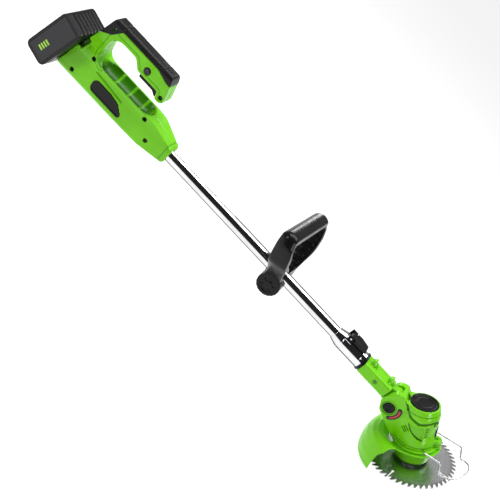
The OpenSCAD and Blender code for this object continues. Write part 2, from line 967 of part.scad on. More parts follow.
// One tooth: a raked tip, then a curved gullet, repeated round the rim
tip_r = blade_d / 2;
gullet_depth = 7.5;

function tooth_points(i) =
    let(a = 360 * i / teeth, step = 360 / teeth)
    [
        tip_r * [cos(a), sin(a)],
        (tip_r - 0.4) * [cos(a + 0.34 * step), sin(a + 0.34 * step)],
        (tip_r - 0.6 * gullet_depth) * [cos(a + 0.66 * step), sin(a + 0.66 * step)],
        (tip_r - gullet_depth) * [cos(a + 0.92 * step), sin(a + 0.92 * step)],
        (tip_r - 0.9 * gullet_depth) * [cos(a + 1.12 * step), sin(a + 1.12 * step)]
    ];

module saw_blade() {
    color(STEEL)
    head_frame()
    difference() {
        linear_extrude(blade_t, center = true)
            polygon([for (i = [0:teeth - 1]) each tooth_points(i)]);
        cylinder(d = 8, h = 10, center = true);
        // slots that let the rim expand
        for (a = [71, 161, 251, 341]) rotate(a) {
            translate([tip_r - 19, 0, 0]) cylinder(d = 4.6, h = 10, center = true, $fn = 24);
            translate([tip_r - 9, 0, 0]) cube([20, 2, 10], center = true);
        }
    }
}

// Wire that keeps flowers and posts off the blade, bent from one length
wire_z = 36.5;
wire_low = 14;
wire_end = [wire_hinge[0], lug_y - lug_t / 2 - 0.4, wire_hinge[1]];
wire_bend = lug_y + lug_t / 2 + 2.1;
wire_route = [
    [wire_end[0], -wire_end[1], wire_end[2]], [wire_hinge[0], -wire_bend, wire_hinge[1]],
    [49, -40, wire_z], [50, -40, wire_low], [64, -41, wire_low], [76, -37, wire_low],
    [86, -24, wire_low], [93, -6, wire_low], [92, 8, wire_low], [85, 14, wire_low],
    [77, 16, wire_low], [74, 18, wire_z], [wire_hinge[0], wire_bend, wire_hinge[1]], wire_end
];

wire_sides = 8;

// Direction of the wire at point i of its route
function heading(route, i) =
    let(n = len(route), a = route[max(0, i - 1)], b = route[i], c = route[min(n - 1, i + 1)])
    unit((b == a ? [0, 0, 0] : unit(b - a)) + (c == b ? [0, 0, 0] : unit(c - b)));

function ring_at(route, i, d) =
    let(w = heading(route, i), u = unit(cross(w, [0.1, 0.3, 1])), v = cross(w, u))
    [for (k = [0:wire_sides - 1]) let(t = 360 * k / wire_sides)
        route[i] + (u * cos(t) + v * sin(t)) * d / 2];

// A round wire along a route, as one closed tube
module wire(route, d) {
    n = len(route);
    m = wire_sides;
    polyhedron(
        [for (i = [0:n - 1]) each ring_at(route, i, d)],
        concat(
            [[for (k = [0:m - 1]) k]],
            [for (i = [0:n - 2]) for (k = [0:m - 1])
                [i * m + k, (i + 1) * m + k, (i + 1) * m + (k + 1) % m, i * m + (k + 1) % m]],
            [[for (k = [m - 1:-1:0]) (n - 1) * m + k]]
        )
    );
}

module wire_guard() {
    color(STEEL)
    head_frame()
    wire(wire_route, wire_d);
}

// ---------------------------------------------------------------- front handle

// The loop seen along the shaft (left, up), and the opening inside it
loop_outer = [
    [-17, -31, 12], [17, -31, 12], [28, 2, 14], [loop_w / 2 - 8, 44, 24], [loop_w / 2, 80, 18],
    [loop_w / 2 - 7, loop_top, 14], [-loop_w / 2 + 7, loop_top, 14], [-loop_w / 2, 80, 18],
    [-loop_w / 2 + 8, 44, 24], [-28, 2, 14]
];
loop_inner = [
    [-14, 15, 7], [14, 15, 7], [loop_w / 2 - 21, 48, 14], [loop_w / 2 - 13, 78, 8],
    [loop_w / 2 - 17, loop_top - 15, 6], [-loop_w / 2 + 17, loop_top - 15, 6], [-loop_w / 2 + 13, 78, 8],
    [-loop_w / 2 + 21, 48, 14]
];
// Side view of the loop's band (forward, up), fuller in front below the bar
loop_side = [
    [-band_w / 2, -60, 0], [band_w / 2, -60, 0], [band_w / 2 + 1, 6, 20], [band_w / 2 + 6, 36, 24],
    [band_w / 2 + 5, 62, 20], [band_w / 2, 88, 16], [band_w / 2, 130, 0], [-band_w / 2, 130, 0]
];
bolt_z = -15.5;
bolt_d = 6;
boss_half = 16;
clamp_boss_d = 40;
knob_t = 10;
knob_r = 20.5;
nut_seat_d = 15;
slit = 2.4;

// Leans the loop back and turns it a little, about the shaft
module loop_frame() translate([clamp_x, 0, 0]) rotate([0, -loop_lean, -loop_yaw]) children();

module front_handle() {
    color(BLACK)
    shaft_frame()
    difference() {
        union() {
            loop_frame() difference() {
                intersection() {
                    along_shaft(rounded(loop_outer), -band_w, band_w);
                    side_plate(rounded(loop_side), loop_w);
                }
                along_shaft(rounded(loop_inner), -2 * band_w, 2 * band_w);
            }
            translate([clamp_x, 0, bolt_z]) across(clamp_boss_d, 2 * boss_half);
        }
        forward_rod(tube_d + 2 * fit, clamp_x - 60, clamp_x + 60);
        translate([clamp_x, 0, bolt_z]) across(bolt_d + 0.4, 120);
        translate([clamp_x, -boss_half - 50, bolt_z]) across(2 * (knob_r + gap), 100);
        translate([clamp_x, boss_half + 50, bolt_z]) across(nut_seat_d, 100);
        // slit below the tube that the bolt closes
        translate([clamp_x, 0, bolt_z - 8]) cube([90, slit, 34], center = true);
    }
}

module clamp_bolt() {
    color(STEEL)
    shaft_frame() translate([clamp_x, 0, bolt_z]) {
        translate([0, -0.9, 0]) across(bolt_d, 44.2);
        translate([0, boss_half + 2.2, 0]) rotate([90, 0, 0])
            cylinder(d = 11, h = 4, center = true, $fn = 6);
    }
}

module clamp_knob() {
    color(BLACK)
    shaft_frame() translate([clamp_x, -(boss_half + gap + knob_t / 2), bolt_z]) difference() {
        rotate([90, 0, 0]) linear_extrude(knob_t, center = true) difference() {
            circle(r = knob_r);
            for (i = [0:17]) rotate(i * 20) translate([knob_r + 0.9, 0]) circle(d = 3);
        }
        translate([0, 2.2, 0]) across(bolt_d + 2 * fit, 8.4);
    }
}

handle_shell_right();
handle_shell_left();
grip_cover();
side_inlay(-1);  // side_inlay_right
side_inlay(1);  // side_inlay_left
shell_screws();
lock_button_ring();
trigger_pin();
trigger_spring();
main_switch();
control_board();
battery_rail();
battery_terminals();
handle_wiring();
main_tube();
lock_sleeve();
sleeve_ring();
lever_pin();
trigger();
lock_button();
battery_case();
battery_bezel();
battery_label();
battery_cells();
battery_contacts();
battery_latch();
front_handle();
clamp_bolt();
clamp_knob();
lock_lever();
inner_tube();
neck();
neck_screws();
tilt_button();
head_shell(-1);  // head_shell_right
head_shell(1);  // head_shell_left
head_screws();
pivot_pin();
motor();
motor_cap();
bearings();
front_insert();
tilt_gauge();
base_flange();
blade_guard();
guard_screws();
motor_shaft();
cooling_fan();
shaft_coupling();
spindle();
upper_flange();
saw_blade();
lower_flange();
blade_nut();
wire_guard();
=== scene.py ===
"""Looks of a cordless lawn edger: skins with rounded edges and moulded detail over the CAD frame,
procedural finishes, a pale floor, soft studio lights and the camera."""

import json
import math

import bpy
import numpy as np
from mathutils import Matrix, Vector


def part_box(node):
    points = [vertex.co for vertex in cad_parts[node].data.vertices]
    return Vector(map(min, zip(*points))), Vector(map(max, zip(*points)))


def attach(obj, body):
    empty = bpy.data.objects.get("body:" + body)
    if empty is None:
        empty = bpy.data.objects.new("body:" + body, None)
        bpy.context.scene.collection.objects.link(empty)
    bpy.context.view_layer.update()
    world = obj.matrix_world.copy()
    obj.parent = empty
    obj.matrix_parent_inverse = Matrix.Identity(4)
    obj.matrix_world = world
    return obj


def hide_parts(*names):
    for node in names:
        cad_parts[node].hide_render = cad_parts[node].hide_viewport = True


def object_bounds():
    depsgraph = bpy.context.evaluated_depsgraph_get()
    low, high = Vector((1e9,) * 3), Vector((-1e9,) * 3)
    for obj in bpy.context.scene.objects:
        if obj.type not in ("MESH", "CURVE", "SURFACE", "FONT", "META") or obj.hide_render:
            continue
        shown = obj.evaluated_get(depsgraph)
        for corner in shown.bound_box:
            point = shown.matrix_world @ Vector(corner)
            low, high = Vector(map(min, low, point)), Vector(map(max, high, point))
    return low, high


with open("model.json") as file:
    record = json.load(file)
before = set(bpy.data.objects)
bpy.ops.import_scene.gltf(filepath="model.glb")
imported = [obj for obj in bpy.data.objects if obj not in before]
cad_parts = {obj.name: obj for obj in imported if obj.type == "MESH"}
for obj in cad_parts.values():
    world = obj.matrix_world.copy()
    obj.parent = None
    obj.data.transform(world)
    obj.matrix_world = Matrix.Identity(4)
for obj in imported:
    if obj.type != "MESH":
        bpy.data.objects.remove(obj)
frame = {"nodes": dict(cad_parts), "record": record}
cad_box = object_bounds()
NODES = frame["nodes"]
COLLECTION = bpy.context.scene.collection
MM = 0.001

# ------------------------------------------------------------------ places, read from the frame

# How far the main tube's rear end is inside the handle, ahead of the shaft's origin
TUBE_REAR = 70 * MM
# How the head, the front loop and the battery are turned from the shaft
HEAD_LEAN = math.radians(35.4)
LOOP_LEAN = math.radians(16)
LOOP_YAW = math.radians(8)
BATTERY_LEAN = math.radians(16.8)

tube_low, tube_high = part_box("main_tube")
SHAFT = Vector((tube_low.x - TUBE_REAR, 0, (tube_low.z + tube_high.z) / 2))
blade_low, blade_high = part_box("saw_blade")
BLADE = (blade_low + blade_high) / 2
bolt_low, bolt_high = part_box("clamp_bolt")
CLAMP = Vector(((bolt_low.x + bolt_high.x) / 2, 0, SHAFT.z))
BATTERY_SEAT = Vector((25.5, 0, 12)) * MM
BATTERY = SHAFT + BATTERY_SEAT


def placed(origin, turn=None):
    """Where a local frame stands: its origin and how it is turned."""
    return Matrix.Translation(origin) @ (turn.to_4x4() if turn else Matrix.Identity(4))


SHAFT_FRAME = placed(SHAFT)
HEAD_FRAME = placed(BLADE, Matrix.Rotation(-HEAD_LEAN, 3, "Y"))
LOOP_FRAME = placed(CLAMP, Matrix.Rotation(-LOOP_YAW, 3, "Z") @ Matrix.Rotation(-LOOP_LEAN, 3, "Y"))
BATTERY_FRAME = placed(BATTERY, Matrix.Rotation(BATTERY_LEAN, 3, "Y"))

# ------------------------------------------------------------------ finishes


class Finish:
    """A material's node tree, with short calls for the nodes it is made of."""

    def __init__(self, name, **values):
        self.material = bpy.data.materials.new(name)
        self.material.use_nodes = True
        self.tree = self.material.node_tree
        self.shader = self.tree.nodes["Principled BSDF"]
        self.place = self.add("ShaderNodeTexCoord").outputs["Object"]
        for socket, value in values.items():
            self.shader.inputs[socket.replace("_", " ")].default_value = value

    def add(self, kind, settings=None, **inputs):
        node = self.tree.nodes.new(kind)
        for key, value in (settings or {}).items():
            setattr(node, key, value)
        for key, value in inputs.items():
            self.feed(node.inputs[key.replace("_", " ")], value)
        return node

    def feed(self, socket, value):
        if isinstance(value, bpy.types.NodeSocket):
            self.tree.links.new(value, socket)
        else:
            socket.default_value = value

    def noise(self, scale, detail=3.0, vector=None):
        node = self.add("ShaderNodeTexNoise", Scale=scale, Detail=detail, Roughness=0.55)
        self.feed(node.inputs["Vector"], vector or self.place)
        return node.outputs["Fac"]

    def stretched(self, scale):
        """Coordinates scaled differently along each axis."""
        return self.add("ShaderNodeMapping", Vector=self.place, Scale=scale).outputs["Vector"]

    def local(self, place):
        """Coordinates in a local frame."""
        node = self.add("ShaderNodeMapping", {"vector_type": "TEXTURE"}, Vector=self.place)
        node.inputs["Location"].default_value = place.to_translation()
        node.inputs["Rotation"].default_value = place.to_euler()
        return node.outputs["Vector"]

    def math(self, operation, a, b=0.0):
        node = self.add("ShaderNodeMath", {"operation": operation})
        self.feed(node.inputs[0], a)
        self.feed(node.inputs[1], b)
        return node.outputs[0]

    def spread(self, value, low, high, to_low=0.0, to_high=1.0):
        """Carries the range from low to high over to the range from to_low to to_high."""
        node = self.add("ShaderNodeMapRange", Value=value)
        for key, number in (("From Min", low), ("From Max", high), ("To Min", to_low), ("To Max", to_high)):
            node.inputs[key].default_value = number
        return node.outputs[0]

    def blend(self, share, a, b):
        """A mix of two colours, each a tuple or a socket: a where share is 0, b where it is 1."""
        node = self.add("ShaderNodeMix", {"data_type": "RGBA"})
        factor, first, second, mixed = node.inputs[0], node.inputs[6], node.inputs[7], node.outputs[2]
        self.feed(factor, share)
        self.feed(first, (*a, 1) if isinstance(a, tuple) else a)
        self.feed(second, (*b, 1) if isinstance(b, tuple) else b)
        return mixed

    def mark(self, name):
        """A number that a skin carries at each of its points."""
        return self.add("ShaderNodeAttribute", {"attribute_name": name}).outputs["Fac"]

    def colour(self, socket):
        self.feed(self.shader.inputs["Base Color"], socket)

    def rough(self, socket):
        self.feed(self.shader.inputs["Roughness"], socket)

    def relief(self, *layers):
        """Bump layers, each a height, a strength and a depth in metres."""
        normal = None
        for height, strength, depth in layers:
            node = self.add("ShaderNodeBump", Strength=strength, Distance=depth, Height=height)
            if normal:
                self.feed(node.inputs["Normal"], normal)
            normal = node.outputs["Normal"]
        self.feed(self.shader.inputs["Normal"], normal)


def moulded(name, base, shade_colour, low=0.3, high=0.42, grain=0.12, **values):
    """A moulded plastic: slow colour drift, fine spark-eroded grain, rubbed patches, and painted shade in
    recesses.
    """
    f = Finish(name, **values)
    drift = f.spread(f.noise(9, 2), 0.35, 0.65)
    pale = tuple(min(1, c * 1.07 + 0.003) for c in base)
    dull = tuple(c * 0.9 for c in base)
    colour = f.blend(drift, dull, pale)
    specks = f.spread(f.noise(700, 2), 0.6, 0.72, 0, 0.22)
    colour = f.blend(specks, colour, tuple(c * 0.7 for c in base))
    # painted shade: the skins' shade mark darkens the colour in recesses, grooves and on undersides
    colour = f.blend(f.mark("shade"), colour, shade_colour)
    colour = f.blend(f.mark("ink"), colour, (0.008, 0.008, 0.009))
    f.colour(colour)
    rub = f.spread(f.noise(38, 5, f.stretched((1, 1.6, 2.2))), 0.42, 0.66, low, high)
    f.rough(rub)
    scuff = f.spread(f.noise(120, 6, f.stretched((0.25, 2, 1.4))), 0.6, 0.64)
    f.relief((f.noise(2600, 2), grain, 0.0002), (scuff, 0.05, 0.0001))
    return f.material


DIAMOND = 1.7 * MM


def soft_rubber(name, base):
    """A soft cover with a fine diamond texture, drawn darker in its valleys as painted shade."""
    f = Finish(name, Specular_IOR_Level=0.25)
    pitch = 2 * math.pi / DIAMOND
    x, y, z = f.add("ShaderNodeSeparateXYZ", Vector=f.place).outputs
    across = f.math("ADD", z, y)
    one = f.math("SINE", f.math("MULTIPLY", f.math("ADD", x, across), pitch))
    two = f.math("SINE", f.math("MULTIPLY", f.math("SUBTRACT", x, across), pitch))
    diamonds = f.spread(f.math("MULTIPLY", one, two), -0.5, 0.6)
    drift = f.blend(f.noise(24, 3), base, tuple(c * 1.9 for c in base))
    # the diamond pattern is darker in its low parts: painted shade in the valleys
    colour = f.blend(diamonds, tuple(c * 0.55 for c in base), drift)
    # painted shade from the skin's shade mark, in the cover's grooves
    f.colour(f.blend(f.mark("shade"), colour, (0.004, 0.004, 0.004)))
    f.rough(f.spread(f.noise(60, 4), 0.3, 0.7, 0.32, 0.42))
    f.relief((diamonds, 0.1, 0.0004), (f.noise(1500, 2), 0.1, 0.0002))
    return f.material


def metal(name, base, low, high, streak=(1, 60, 60), fine=420, painted_reflection=None, **values):
    """A plated or drawn metal with fine lengthwise lines and a little haze, and where asked a dark stripe
    along the shaft, painted as a dark reflection; its start and end are given in degrees from straight down."""
    f = Finish(name, Metallic=1.0, **values)
    lines = f.noise(fine, 3, f.stretched(streak))
    haze = f.noise(30, 4)
    colour = f.blend(f.spread(haze, 0.35, 0.7), base, tuple(c * 0.86 for c in base))
    # painted reflection: a dark stripe along the tube's underside stands in for the reflection of something
    # dark
    if painted_reflection:
        x, y, z = f.add("ShaderNodeSeparateXYZ", Vector=f.local(SHAFT_FRAME)).outputs
        turn = f.math("ARCTAN2", f.math("MULTIPLY", y, -1.0), f.math("MULTIPLY", z, -1.0))
        start, end = (math.radians(a) for a in painted_reflection)
        soft = 0.02
        after = f.spread(turn, start - soft, start + soft)
        before = f.spread(turn, end + soft, end - soft)
        stripe = f.math("MULTIPLY", after, before)
        colour = f.blend(stripe, colour, (0.012, 0.012, 0.013))
    f.colour(f.blend(f.mark("ink"), colour, (0.01, 0.01, 0.011)))
    f.rough(f.math("ADD", f.spread(lines, 0.4, 0.7, low, high), f.spread(haze, 0.5, 0.75, 0, 0.04)))
    f.relief((lines, 0.05, 0.00008),)
    return f.material


RINGS_PER_METRE = 4200.0
TOOTH_ROOT_R = (65.5 * MM, 68 * MM)


def ground_steel(name, base):
    """The blade: rings left by grinding, and darker teeth."""
    f = Finish(name, Metallic=1.0)
    spot = f.local(HEAD_FRAME)
    out = f.add("ShaderNodeVectorMath", {"operation": "LENGTH"}, Vector=spot).outputs["Value"]
    rings = f.add("ShaderNodeTexNoise", {"noise_dimensions": "1D"}, Scale=1.0, Detail=3.0)
    f.feed(rings.inputs["W"], f.math("MULTIPLY", out, RINGS_PER_METRE))
    rings = rings.outputs["Fac"]
    cloud = f.noise(55, 5)
    rim = f.spread(out, *TOOTH_ROOT_R)
    colour = f.blend(f.spread(cloud, 0.4, 0.7), base, tuple(c * 0.8 for c in base))
    colour = f.blend(f.math("MULTIPLY", rim, 0.6), colour, (0.3, 0.29, 0.29))
    f.colour(colour)
    f.rough(f.math("ADD", f.spread(rings, 0.3, 0.7, 0.2, 0.3), f.spread(cloud, 0.5, 0.8, 0, 0.06)))
    f.relief((rings, 0.05, 0.00004), (cloud, 0.02, 0.0003))
    return f.material


def circuit(name):
    """A green board with tracks and a few bright pads."""
    f = Finish(name)
    tracks = f.add("ShaderNodeTexBrick", Scale=160.0, Vector=f.place)
    colour = f.blend(f.spread(tracks.outputs["Fac"], 0, 1), (0.02, 0.12, 0.03), (0.05, 0.25, 0.06))
    f.colour(f.blend(f.spread(f.noise(300, 2), 0.62, 0.66), colour, (0.5, 0.42, 0.2)))
    f.rough(f.spread(f.noise(90, 2), 0.3, 0.7, 0.3, 0.5))
    f.relief((tracks.outputs["Fac"], 0.3, 0.0001),)
    return f.material


LIME = (0.17, 0.61, 0.004)
# the dark lime that painted shade blends the lime towards
LIME_IN_SHADE = (0.02, 0.13, 0.001)
FINISHES = {
    "green_shell": moulded("green_shell", LIME, LIME_IN_SHADE, 0.2, 0.3, 0.08, Specular_IOR_Level=0.28),
    "green_guard": moulded("green_guard", LIME, LIME_IN_SHADE, 0.2, 0.3, 0.06, Specular_IOR_Level=0.28),
    "soft_grip": soft_rubber("soft_grip", (0.005, 0.005, 0.0055)),
    "black_plastic": moulded("black_plastic", (0.0045, 0.0045, 0.005), (0.001, 0.001, 0.001), 0.22, 0.32, 0.1,
                             Specular_IOR_Level=0.2),
    "grey_plastic": moulded("grey_plastic", (0.055, 0.05, 0.06), (0.006, 0.006, 0.007), 0.34, 0.5, 0.25,
                            Specular_IOR_Level=0.22),
    "label_grey": moulded("label_grey", (0.028, 0.028, 0.031), (0.006, 0.006, 0.007), 0.3, 0.4, 0.1,
                          Specular_IOR_Level=0.3),
    "red_plastic": moulded("red_plastic", (0.62, 0.03, 0.045), (0.2, 0.01, 0.01), 0.25, 0.35, 0.05),
    # the tube's dark stripe along its underside is a painted reflection
    "tube_chrome": metal("tube_chrome", (0.8, 0.8, 0.82), 0.07, 0.13, painted_reflection=(24, 62)),
    "blade_steel": ground_steel("blade_steel", (0.72, 0.72, 0.73)),
    "fastener_steel": metal("fastener_steel", (0.11, 0.11, 0.12), 0.3, 0.45, (1, 1, 1), 300),
    "bright_steel": metal("bright_steel", (0.68, 0.68, 0.7), 0.14, 0.26, (1, 1, 1), 260),
    "motor_iron": metal("motor_iron", (0.3, 0.3, 0.31), 0.3, 0.45, (30, 30, 1)),
    "board": circuit("board"),
    "contact_brass": metal("contact_brass", (0.78, 0.52, 0.2), 0.2, 0.34, (1, 1, 1), 300),
    "wire_skin": moulded("wire_skin", (0.45, 0.015, 0.012), (0.1, 0.0, 0.0), 0.3, 0.4, 0.05),
    "cell_wrap": moulded("cell_wrap", (0.03, 0.12, 0.42), (0.0, 0.02, 0.1), 0.22, 0.34, 0.03),
}
INK = moulded("lime_ink", (0.42, 0.8, 0.06), (0.1, 0.3, 0.0), 0.3, 0.4, 0.03)

SLOT = {row["node"]: row["material_slot"] for row in frame["record"]["subparts"]}

for node, thing in NODES.items():
    thing.data.materials.clear()
    thing.data.materials.append(FINISHES[SLOT[node]])

# ------------------------------------------------------------------ distances and masks, in mm


def ramp(start, end, x):
    """0 at start, 1 at end, with soft ends. start may be above end."""
    t = np.clip((x - start) / (end - start), 0, 1)
    return t * t * (3 - 2 * t)


def to_line(x, z, path, closed=False):
    """Distance of each point from a path in the plane."""
    ends = list(zip(path, path[1:])) + ([(path[-1], path[0])] if closed else [])
    best = np.full(len(x), 1e9)
    for (ax, az), (bx, bz) in ends:
        dx, dz = bx - ax, bz - az
        t = np.clip(((x - ax) * dx + (z - az) * dz) / (dx * dx + dz * dz), 0, 1)
        best = np.minimum(best, np.hypot(x - ax - t * dx, z - az - t * dz))
    return best


def inside(x, z, path):
    """Distance inside a closed outline: positive inside, negative outside."""
    within = np.zeros(len(x), bool)
    for (ax, az), (bx, bz) in zip(path, path[1:] + path[:1]):
        crosses = (az > z) != (bz > z)
        within ^= crosses & (x < (bx - ax) * (z - az) / ((bz - az) or 1e-9) + ax)
    return np.where(within, 1, -1) * to_line(x, z, path, True)


def box_inside(x, z, centre, half_x, half_z, turn=0.0):
    """Distance inside a rectangle."""
    dx, dz = x - centre[0], z - centre[1]
    u = dx * math.cos(turn) + dz * math.sin(turn)
    v = dz * math.cos(turn) - dx * math.sin(turn)
    return np.minimum(half_x - np.abs(u), half_z - np.abs(v))


class Skin:
    """A copy of a CAD node's surface with rounded edges, ready for moulded detail."""

    def __init__(self, node, voxel, rounds, place=SHAFT_FRAME):
        self.node = node
        self.place = place
        raw = bpy.data.objects.new("raw", NODES[node].data.copy())
        COLLECTION.objects.link(raw)
        remesh = raw.modifiers.new("even", "REMESH")
        remesh.mode = "VOXEL"
        remesh.voxel_size = voxel * MM
        bpy.context.view_layer.update()
        even = raw.evaluated_get(bpy.context.evaluated_depsgraph_get())
        self.mesh = bpy.data.meshes.new_from_object(even)
        bpy.data.objects.remove(raw)
        self.mesh.name = node + "_skin"
        count = len(self.mesh.vertices)
        edges = np.empty(len(self.mesh.edges) * 2, np.int32)
        self.mesh.edges.foreach_get("vertices", edges)
        self.edges = edges.reshape(-1, 2)
        self.valence = np.bincount(edges, minlength=count).clip(1)[:, None]
        spots = np.empty(count * 3, np.float32)
        self.mesh.vertices.foreach_get("co", spots)
        back = np.array(place.inverted())
        spots = spots.reshape(-1, 3).astype(float)
        self.p = (spots @ back[:3, :3].T + back[:3, 3]) / MM
        self.soften(rounds)
        self.shade = np.zeros(count)
        self.ink = np.zeros(count)
        self.sense()

    def soften(self, rounds):
        """Moves each point halfway to the middle of its neighbours, again and again."""
        a, b = self.edges[:, 0], self.edges[:, 1]
        count = len(self.p)
        for _ in range(rounds):
            total = np.empty_like(self.p)
            for k in range(3):
                total[:, k] = np.bincount(a, self.p[b, k], count) + np.bincount(b, self.p[a, k], count)
            self.p += 0.5 * (total / self.valence - self.p)

    def write(self):
        """Puts the points into the mesh, in the shared frame."""
        there = np.array(self.place)
        spots = (self.p * MM) @ there[:3, :3].T + there[:3, 3]
        self.mesh.vertices.foreach_set("co", spots.astype(np.float32).ravel())
        self.mesh.update()

    def sense(self):
        """Reads the surface's directions, in the skin's own frame."""
        self.write()
        normals = np.empty(len(self.p) * 3, np.float32)
        self.mesh.vertex_normals.foreach_get("vector", normals)
        turn = np.array(self.place)[:3, :3]
        self.n = normals.reshape(-1, 3) @ turn

    def side(self, least=0.35, beyond=0.0):
        """The outer faces on both sides, as shares."""
        x, y, z = self.p.T
        return ramp(least, least + 0.3, np.abs(self.n[:, 1])) * (self.n[:, 1] * y > 0) * (np.abs(y) > beyond)

    def sink(self, depth, mask, shade=0.0):
        """Presses side faces in towards the middle plane, and paints shade there by the given share."""
        self.p[:, 1] -= np.sign(self.p[:, 1]) * depth * mask
        self.shade = np.maximum(self.shade, shade * mask)

    def press(self, depth, mask, shade=0.0):
        """Presses faces in along their own directions, and paints shade there by the given share."""
        self.p -= self.n * (depth * mask)[:, None]
        self.shade = np.maximum(self.shade, shade * mask)

    def finish(self, body):
        """Makes the skin a piece that replaces its node and rides its body."""
        self.write()
        # the shade mark carries painted shade, the ink mark black paint
        for key, values in (("shade", self.shade), ("ink", self.ink)):
            layer = self.mesh.attributes.new(key, "FLOAT", "POINT")
            layer.data.foreach_set("value", values.clip(0, 1).astype(np.float32))
        self.mesh.materials.clear()
        slot = SLOT[self.node]
        self.mesh.materials.append(FINISHES[slot])
        self.mesh.polygons.foreach_set("use_smooth", [True] * len(self.mesh.polygons))
        self.mesh.update()
        piece = bpy.data.objects.new(self.node + "_skin", self.mesh)
        COLLECTION.objects.link(piece)
        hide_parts(self.node)
        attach(piece, body)


# ------------------------------------------------------------------ rear handle

# Places on the side of the shells, as distance along the shaft and height above it, in mm
SHELL_SCREWS = [(63.5, 32), (45, -9), (183, 24), (205, -2)]
TOP_SCREWS = [(179, 66), (60, 90)]
OPENING = [(79, 31), (68.4, 35.4), (64, 46), (64, 83), (112, 83), (125, 69.5), (168, 69.5), (171, 58),
           (188, 58)]
CREASE = [(80, 20), (110, 17.5), (138, 14.6)]
TROUGH_AXIS_Z = 40
TROUGH_RIBS = (105, 133, 161)
NOSE_END_X = 238
# Side faces start this far from the middle plane, below and above the top of the body
BODY_TOP_Z = 50
BODY_SIDE = 15
GRIP_SIDE = 6


def handle_skin(node):
    s = Skin(node, 0.75, 7)
    x, y, z = s.p.T.copy()
    side = s.side(0.3, 8)
    # the flanks lean in a little above mid height
    lean = ramp(-2, 24, z) * (1 - 0.4 * ramp(24, 32, z))
    s.sink(2.8, side * (np.abs(y) > BODY_SIDE) * lean * (z < 46))
    for (a, b) in SHELL_SCREWS + TOP_SCREWS:
        far = np.hypot(x - a, z - b)
        in_body = b < BODY_TOP_Z
        s.sink(4.0, side * ramp(3.9, 3.2, far))
        # painted shade round the screw holes; the ink below is the black of the screws inside
        s.shade = np.maximum(s.shade, ramp(4.6, 3.3, far) * side * 0.9)
        s.ink = np.maximum(s.ink, ramp(3.7, 3.2, far) * (np.abs(y) > (BODY_SIDE if in_body else GRIP_SIDE)))
    # the crease along the flank, darkened with painted shade
    s.sink(1.1, side * ramp(2.6, 0.3, to_line(x, z, CREASE)), 0.5)
    # the notch for the battery's latch, darkened with painted shade, and the raised frame round it
    notch = box_inside(x, z, (33, 41), 8, 10, -BATTERY_LEAN)
    s.shade = np.maximum(s.shade, ramp(0.2, 1.2, notch) * (np.abs(y) > 14) * 0.75)
    s.sink(-0.8, side * ramp(3.4, 2.2, -notch) * ramp(0.3, 1.0, -notch))
    # the seam that follows the grip's opening, a groove darkened with painted shade
    rim = to_line(x, z, OPENING)
    s.sink(0.7, side * ramp(4.6, 5.2, rim) * ramp(6.8, 6.2, rim), 0.45)
    # the hollow under the fingers is darkened with painted shade, more between its ribs than on them
    trough = np.hypot(y, z - TROUGH_AXIS_Z)
    hollow = ramp(24.2, 23.4, trough) * ramp(32, 29, z) * (z > 16) * ramp(66, 78, x) * ramp(186, 172, x)
    ribs = np.min([np.abs(x - rib) for rib in TROUGH_RIBS], axis=0)
    s.shade = np.maximum(s.shade, hollow * (0.35 + 0.6 * ramp(1.2, 3.5, ribs)))
    # a step where the round nose of the body meets the tube, darkened with painted shade
    s.press(0.6, ramp(1.4, 0.4, np.abs(x - NOSE_END_X)) * (np.hypot(y, z) > 12), 0.5)
    s.finish("handle")


handle_skin("handle_shell_right")
handle_skin("handle_shell_left")


COVER_GROOVES = (146, 150.5, 155)
COVER_SEAM_X = 72


def cover_skin():
    s = Skin("grip_cover", 0.6, 7)
    x, y, z = s.p.T.copy()
    outer = ramp(0.1, 0.4, np.abs(s.n[:, 1]) + np.clip(s.n[:, 2], 0, 1))
    # grooves round the cover and its seam, darkened with painted shade
    for groove in COVER_GROOVES:
        s.press(0.7, outer * ramp(1.0, 0.3, np.abs(x - groove)) * (z > 98), 0.8)
    s.press(0.6, ramp(1.1, 0.3, np.abs(x - COVER_SEAM_X)) * outer, 0.8)
    s.finish("handle")


cover_skin()


def plain_skin(node, body, voxel, rounds, place=SHAFT_FRAME):
    """A skin with rounded edges and nothing moulded on it."""
    Skin(node, voxel, rounds, place).finish(body)


INLAY = [(84, -10.5), (150, -10.5), (150, -3), (136, 8), (120, 11), (84, 11)]


def inlay_skin(node):
    s = Skin(node, 0.45, 3)
    x, y, z = s.p.T.copy()
    edge = inside(x, z, INLAY)
    # the pad's middle is sunk and darkened with painted shade
    s.sink(0.6, s.side(0.4) * ramp(2.2, 3.2, edge), 0.3)
    s.finish("handle")


inlay_skin("side_inlay_right")
inlay_skin("side_inlay_left")
plain_skin("lock_button_ring", "handle", 0.35, 2)


LOCK_BUTTON = (138.3, 82)


def button_skin():
    s = Skin("lock_button", 0.35, 4)
    x, y, z = s.p.T.copy()
    far = np.hypot(x - LOCK_BUTTON[0], z - LOCK_BUTTON[1])
    # a dish in the button's face, darkened with painted shade
    s.sink(0.5, s.side(0.5) * (y < 0) * ramp(3.2, 2.2, far), 0.2)
    s.finish("lock_button")


button_skin()


def trigger_skin():
    s = Skin("trigger", 0.5, 5)
    x, y, z = s.p.T.copy()
    under = ramp(0.4, 0.8, -s.n[:, 2])
    # grooves under the trigger, darkened with painted shade
    for groove in range(133, 158, 4):
        s.press(0.5, under * ramp(0.9, 0.3, np.abs(x - groove)) * (np.abs(y) < 4.2), 0.5)
    s.finish("trigger")


trigger_skin()

# ------------------------------------------------------------------ battery


CASE_SEAM_Y = -36.5


